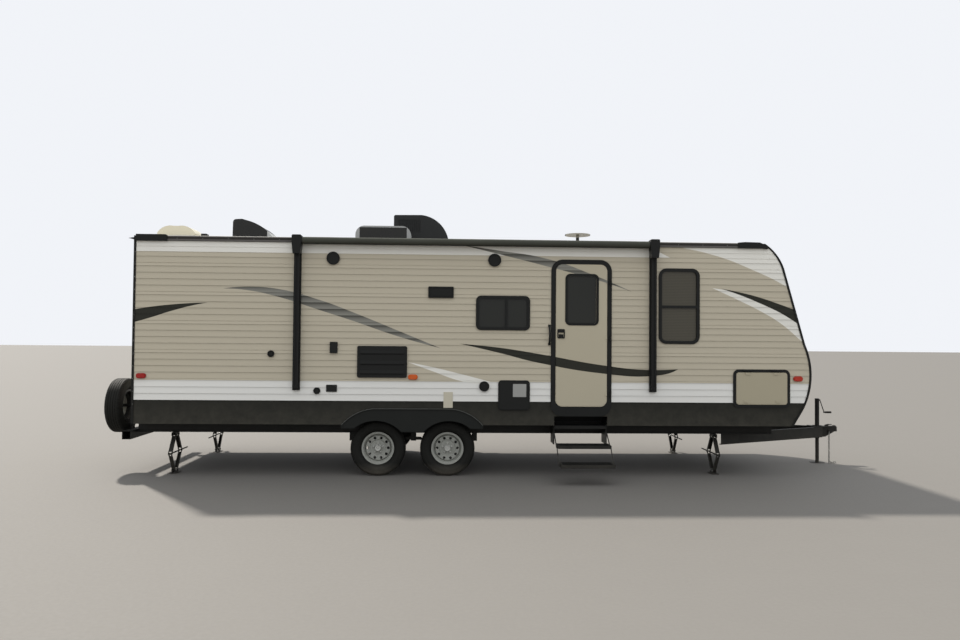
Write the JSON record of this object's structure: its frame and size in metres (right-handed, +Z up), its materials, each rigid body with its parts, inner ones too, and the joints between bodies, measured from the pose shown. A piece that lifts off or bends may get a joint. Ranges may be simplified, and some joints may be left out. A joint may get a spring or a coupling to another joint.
{
  "type": "travel caravan",
  "caption": "Tandem-axle travel caravan with lap-sided cabin, rolled awning, entry steps, scissor stabilisers and a drawbar with tongue jack.",
  "frame": {"origin": "on the ground at the middle of the tongue jack's foot plate", "axes": "+X forward towards the coupler, +Z up, door side at -Y"},
  "size_m": [9.4715, 2.9915, 3.28],
  "materials": {
    "lap_siding": "painted lap siding, satin",
    "front_skin": "painted sheet, satin",
    "roof_membrane": "matt membrane",
    "underside": "covered with black sheet",
    "chassis_paint": "satin black",
    "jack_paint": "gloss black",
    "axle_paint": "satin black",
    "rim_silver": "silver paint",
    "tyre": "matt",
    "black_plastic": "textured",
    "dark_glass": "tinted",
    "door_skin": "painted, satin",
    "black_trim": "satin black",
    "lamp_lens": "clear gloss",
    "awning_black": "satin",
    "step_steel": "satin black",
    "unit_shell": "satin",
    "vent_shell": "satin",
    "chain_steel": "zinc plated",
    "stabiliser_black": "satin black"
  },
  "bodies": {
    "trailer": {"side_wall_near": "lap_siding", "side_wall_far": "lap_siding", "rear_wall": "lap_siding", "front_wall": "front_skin", "roof": "roof_membrane", "floor": "underside", "chassis": "chassis_paint", "a_frame": "chassis_paint", "coupler": "chassis_paint", "tongue_jack": "jack_paint", "running_gear": "axle_paint", "spare_rim": "rim_silver", "spare_tyre": "tyre", "fenders": "black_plastic", "window_glass": "dark_glass", "wall_fittings": "black_plastic", "lamps": "lamp_lens", "edge_trim": "black_trim", "awning": "awning_black", "steps": "step_steel", "air_conditioner": "unit_shell", "roof_vents": "vent_shell", "safety_chain": "chain_steel"},
    "tongue_leg": {"tongue_jack_leg": "jack_paint"},
    "entry_door": {"entry_door": "door_skin", "door_glass": "dark_glass"},
    "locker_near": {"locker_door_near": "door_skin"},
    "locker_far": {"locker_door_far": "door_skin"},
    "wheel_rear_near": {"wheel_rear_near_rim": "rim_silver", "wheel_rear_near_tyre": "tyre"},
    "wheel_front_near": {"wheel_front_near_rim": "rim_silver", "wheel_front_near_tyre": "tyre"},
    "wheel_rear_far": {"wheel_rear_far_rim": "rim_silver", "wheel_rear_far_tyre": "tyre"},
    "wheel_front_far": {"wheel_front_far_rim": "rim_silver", "wheel_front_far_tyre": "tyre"},
    "jack_rear_near_upper_outer": {"jack_rear_near_upper_outer": "stabiliser_black"},
    "jack_rear_near_lower_outer": {"jack_rear_near_lower_outer": "stabiliser_black"},
    "jack_rear_near_upper_inner": {"jack_rear_near_upper_inner": "stabiliser_black"},
    "jack_rear_near_lower_inner": {"jack_rear_near_lower_inner": "stabiliser_black"},
    "jack_rear_near_screw": {"jack_rear_near_screw": "stabiliser_black"},
    "jack_rear_near_foot": {"jack_rear_near_foot": "stabiliser_black"},
    "jack_rear_far_upper_outer": {"jack_rear_far_upper_outer": "stabiliser_black"},
    "jack_rear_far_lower_outer": {"jack_rear_far_lower_outer": "stabiliser_black"},
    "jack_rear_far_upper_inner": {"jack_rear_far_upper_inner": "stabiliser_black"},
    "jack_rear_far_lower_inner": {"jack_rear_far_lower_inner": "stabiliser_black"},
    "jack_rear_far_screw": {"jack_rear_far_screw": "stabiliser_black"},
    "jack_rear_far_foot": {"jack_rear_far_foot": "stabiliser_black"},
    "jack_front_near_upper_outer": {"jack_front_near_upper_outer": "stabiliser_black"},
    "jack_front_near_lower_outer": {"jack_front_near_lower_outer": "stabiliser_black"},
    "jack_front_near_upper_inner": {"jack_front_near_upper_inner": "stabiliser_black"},
    "jack_front_near_lower_inner": {"jack_front_near_lower_inner": "stabiliser_black"},
    "jack_front_near_screw": {"jack_front_near_screw": "stabiliser_black"},
    "jack_front_near_foot": {"jack_front_near_foot": "stabiliser_black"},
    "jack_front_far_upper_outer": {"jack_front_far_upper_outer": "stabiliser_black"},
    "jack_front_far_lower_outer": {"jack_front_far_lower_outer": "stabiliser_black"},
    "jack_front_far_upper_inner": {"jack_front_far_upper_inner": "stabiliser_black"},
    "jack_front_far_lower_inner": {"jack_front_far_lower_inner": "stabiliser_black"},
    "jack_front_far_screw": {"jack_front_far_screw": "stabiliser_black"},
    "jack_front_far_foot": {"jack_front_far_foot": "stabiliser_black"}
  },
  "joints": [
    {"name": "entry_door_hinge", "type": "hinge", "parent": "trailer", "child": "entry_door", "pos_m": [-3.129, -1.2395, 1.6825], "axis": [0, 0, 1], "range_deg": [0, 120]},
    {"name": "locker_near_hinge", "type": "hinge", "parent": "trailer", "child": "locker_near", "pos_m": [-1.273, -1.2395, 1.301], "axis": [-1, 0, 0], "range_deg": [0, 105]},
    {"name": "locker_far_hinge", "type": "hinge", "parent": "trailer", "child": "locker_far", "pos_m": [-1.273, 1.2395, 1.301], "axis": [1, 0, 0], "range_deg": [0, 105]},
    {"name": "tongue_leg_slide", "type": "slide", "parent": "trailer", "child": "tongue_leg", "axis": [0, 0, 1], "range_m": [0, 0.28]},
    {"name": "wheel_rear_near_spin", "type": "hinge", "parent": "trailer", "child": "wheel_rear_near", "pos_m": [-5.919, -1.005, 0.3315], "axis": [0, 1, 0], "continuous": true},
    {"name": "wheel_front_near_spin", "type": "hinge", "parent": "trailer", "child": "wheel_front_near", "pos_m": [-5.081, -1.005, 0.3315], "axis": [0, 1, 0], "continuous": true},
    {"name": "wheel_rear_far_spin", "type": "hinge", "parent": "trailer", "child": "wheel_rear_far", "pos_m": [-5.919, 1.005, 0.3315], "axis": [0, 1, 0], "continuous": true},
    {"name": "wheel_front_far_spin", "type": "hinge", "parent": "trailer", "child": "wheel_front_far", "pos_m": [-5.081, 1.005, 0.3315], "axis": [0, 1, 0], "continuous": true},
    {"name": "jack_rear_near_fold", "type": "hinge", "parent": "trailer", "child": "jack_rear_near_upper_outer", "pos_m": [-8.396, -0.918, 0.465], "axis": [-1, 0, 0], "range_deg": [0, 46]},
    {"name": "jack_rear_near_lower_outer_hinge", "type": "hinge", "parent": "jack_rear_near_upper_outer", "child": "jack_rear_near_lower_outer", "pos_m": [-8.396, -1.05714, 0.2525], "axis": [-1, 0, 0], "range_deg": [-92, 0]},
    {"name": "jack_rear_near_screw_hinge", "type": "hinge", "parent": "jack_rear_near_upper_outer", "child": "jack_rear_near_screw", "pos_m": [-8.396, -1.05714, 0.2525], "axis": [-1, 0, 0], "range_deg": [-46, 0]},
    {"name": "jack_rear_near_foot_hinge", "type": "hinge", "parent": "jack_rear_near_lower_outer", "child": "jack_rear_near_foot", "pos_m": [-8.396, -0.918, 0.04], "axis": [-1, 0, 0], "range_deg": [0, 46]},
    {"name": "jack_rear_near_upper_inner_hinge", "type": "hinge", "parent": "trailer", "child": "jack_rear_near_upper_inner", "pos_m": [-8.396, -0.842, 0.465], "axis": [-1, 0, 0], "range_deg": [-46, 0]},
    {"name": "jack_rear_near_lower_inner_hinge", "type": "hinge", "parent": "jack_rear_near_upper_inner", "child": "jack_rear_near_lower_inner", "pos_m": [-8.396, -0.70286, 0.2525], "axis": [-1, 0, 0], "range_deg": [0, 92]},
    {"name": "jack_rear_far_fold", "type": "hinge", "parent": "trailer", "child": "jack_rear_far_upper_outer", "pos_m": [-8.396, 0.918, 0.465], "axis": [1, 0, 0], "range_deg": [0, 46]},
    {"name": "jack_rear_far_lower_outer_hinge", "type": "hinge", "parent": "jack_rear_far_upper_outer", "child": "jack_rear_far_lower_outer", "pos_m": [-8.396, 1.05714, 0.2525], "axis": [1, 0, 0], "range_deg": [-92, 0]},
    {"name": "jack_rear_far_screw_hinge", "type": "hinge", "parent": "jack_rear_far_upper_outer", "child": "jack_rear_far_screw", "pos_m": [-8.396, 1.05714, 0.2525], "axis": [1, 0, 0], "range_deg": [-46, 0]},
    {"name": "jack_rear_far_foot_hinge", "type": "hinge", "parent": "jack_rear_far_lower_outer", "child": "jack_rear_far_foot", "pos_m": [-8.396, 0.918, 0.04], "axis": [1, 0, 0], "range_deg": [0, 46]},
    {"name": "jack_rear_far_upper_inner_hinge", "type": "hinge", "parent": "trailer", "child": "jack_rear_far_upper_inner", "pos_m": [-8.396, 0.842, 0.465], "axis": [1, 0, 0], "range_deg": [-46, 0]},
    {"name": "jack_rear_far_lower_inner_hinge", "type": "hinge", "parent": "jack_rear_far_upper_inner", "child": "jack_rear_far_lower_inner", "pos_m": [-8.396, 0.70286, 0.2525], "axis": [1, 0, 0], "range_deg": [0, 92]},
    {"name": "jack_front_near_fold", "type": "hinge", "parent": "trailer", "child": "jack_front_near_upper_outer", "pos_m": [-1.75, -0.918, 0.465], "axis": [-1, 0, 0], "range_deg": [0, 46]},
    {"name": "jack_front_near_lower_outer_hinge", "type": "hinge", "parent": "jack_front_near_upper_outer", "child": "jack_front_near_lower_outer", "pos_m": [-1.75, -1.05714, 0.2525], "axis": [-1, 0, 0], "range_deg": [-92, 0]},
    {"name": "jack_front_near_screw_hinge", "type": "hinge", "parent": "jack_front_near_upper_outer", "child": "jack_front_near_screw", "pos_m": [-1.75, -1.05714, 0.2525], "axis": [-1, 0, 0], "range_deg": [-46, 0]},
    {"name": "jack_front_near_foot_hinge", "type": "hinge", "parent": "jack_front_near_lower_outer", "child": "jack_front_near_foot", "pos_m": [-1.75, -0.918, 0.04], "axis": [-1, 0, 0], "range_deg": [0, 46]},
    {"name": "jack_front_near_upper_inner_hinge", "type": "hinge", "parent": "trailer", "child": "jack_front_near_upper_inner", "pos_m": [-1.75, -0.842, 0.465], "axis": [-1, 0, 0], "range_deg": [-46, 0]},
    {"name": "jack_front_near_lower_inner_hinge", "type": "hinge", "parent": "jack_front_near_upper_inner", "child": "jack_front_near_lower_inner", "pos_m": [-1.75, -0.70286, 0.2525], "axis": [-1, 0, 0], "range_deg": [0, 92]},
    {"name": "jack_front_far_fold", "type": "hinge", "parent": "trailer", "child": "jack_front_far_upper_outer", "pos_m": [-1.75, 0.918, 0.465], "axis": [1, 0, 0], "range_deg": [0, 46]},
    {"name": "jack_front_far_lower_outer_hinge", "type": "hinge", "parent": "jack_front_far_upper_outer", "child": "jack_front_far_lower_outer", "pos_m": [-1.75, 1.05714, 0.2525], "axis": [1, 0, 0], "range_deg": [-92, 0]},
    {"name": "jack_front_far_screw_hinge", "type": "hinge", "parent": "jack_front_far_upper_outer", "child": "jack_front_far_screw", "pos_m": [-1.75, 1.05714, 0.2525], "axis": [1, 0, 0], "range_deg": [-46, 0]},
    {"name": "jack_front_far_foot_hinge", "type": "hinge", "parent": "jack_front_far_lower_outer", "child": "jack_front_far_foot", "pos_m": [-1.75, 0.918, 0.04], "axis": [1, 0, 0], "range_deg": [0, 46]},
    {"name": "jack_front_far_upper_inner_hinge", "type": "hinge", "parent": "trailer", "child": "jack_front_far_upper_inner", "pos_m": [-1.75, 0.842, 0.465], "axis": [1, 0, 0], "range_deg": [-46, 0]},
    {"name": "jack_front_far_lower_inner_hinge", "type": "hinge", "parent": "jack_front_far_upper_inner", "child": "jack_front_far_lower_inner", "pos_m": [-1.75, 0.70286, 0.2525], "axis": [1, 0, 0], "range_deg": [0, 92]}
  ],
  "couplings": [
    {"joint": "jack_rear_near_lower_outer_hinge", "follows": "jack_rear_near_fold", "ratio": -2},
    {"joint": "jack_rear_near_screw_hinge", "follows": "jack_rear_near_fold", "ratio": -1},
    {"joint": "jack_rear_near_foot_hinge", "follows": "jack_rear_near_fold", "ratio": 1},
    {"joint": "jack_rear_near_upper_inner_hinge", "follows": "jack_rear_near_fold", "ratio": -1},
    {"joint": "jack_rear_near_lower_inner_hinge", "follows": "jack_rear_near_fold", "ratio": 2},
    {"joint": "jack_rear_far_lower_outer_hinge", "follows": "jack_rear_far_fold", "ratio": -2},
    {"joint": "jack_rear_far_screw_hinge", "follows": "jack_rear_far_fold", "ratio": -1},
    {"joint": "jack_rear_far_foot_hinge", "follows": "jack_rear_far_fold", "ratio": 1},
    {"joint": "jack_rear_far_upper_inner_hinge", "follows": "jack_rear_far_fold", "ratio": -1},
    {"joint": "jack_rear_far_lower_inner_hinge", "follows": "jack_rear_far_fold", "ratio": 2},
    {"joint": "jack_front_near_lower_outer_hinge", "follows": "jack_front_near_fold", "ratio": -2},
    {"joint": "jack_front_near_screw_hinge", "follows": "jack_front_near_fold", "ratio": -1},
    {"joint": "jack_front_near_foot_hinge", "follows": "jack_front_near_fold", "ratio": 1},
    {"joint": "jack_front_near_upper_inner_hinge", "follows": "jack_front_near_fold", "ratio": -1},
    {"joint": "jack_front_near_lower_inner_hinge", "follows": "jack_front_near_fold", "ratio": 2},
    {"joint": "jack_front_far_lower_outer_hinge", "follows": "jack_front_far_fold", "ratio": -2},
    {"joint": "jack_front_far_screw_hinge", "follows": "jack_front_far_fold", "ratio": -1},
    {"joint": "jack_front_far_foot_hinge", "follows": "jack_front_far_fold", "ratio": 1},
    {"joint": "jack_front_far_upper_inner_hinge", "follows": "jack_front_far_fold", "ratio": -1},
    {"joint": "jack_front_far_lower_inner_hinge", "follows": "jack_front_far_fold", "ratio": 2}
  ]
}
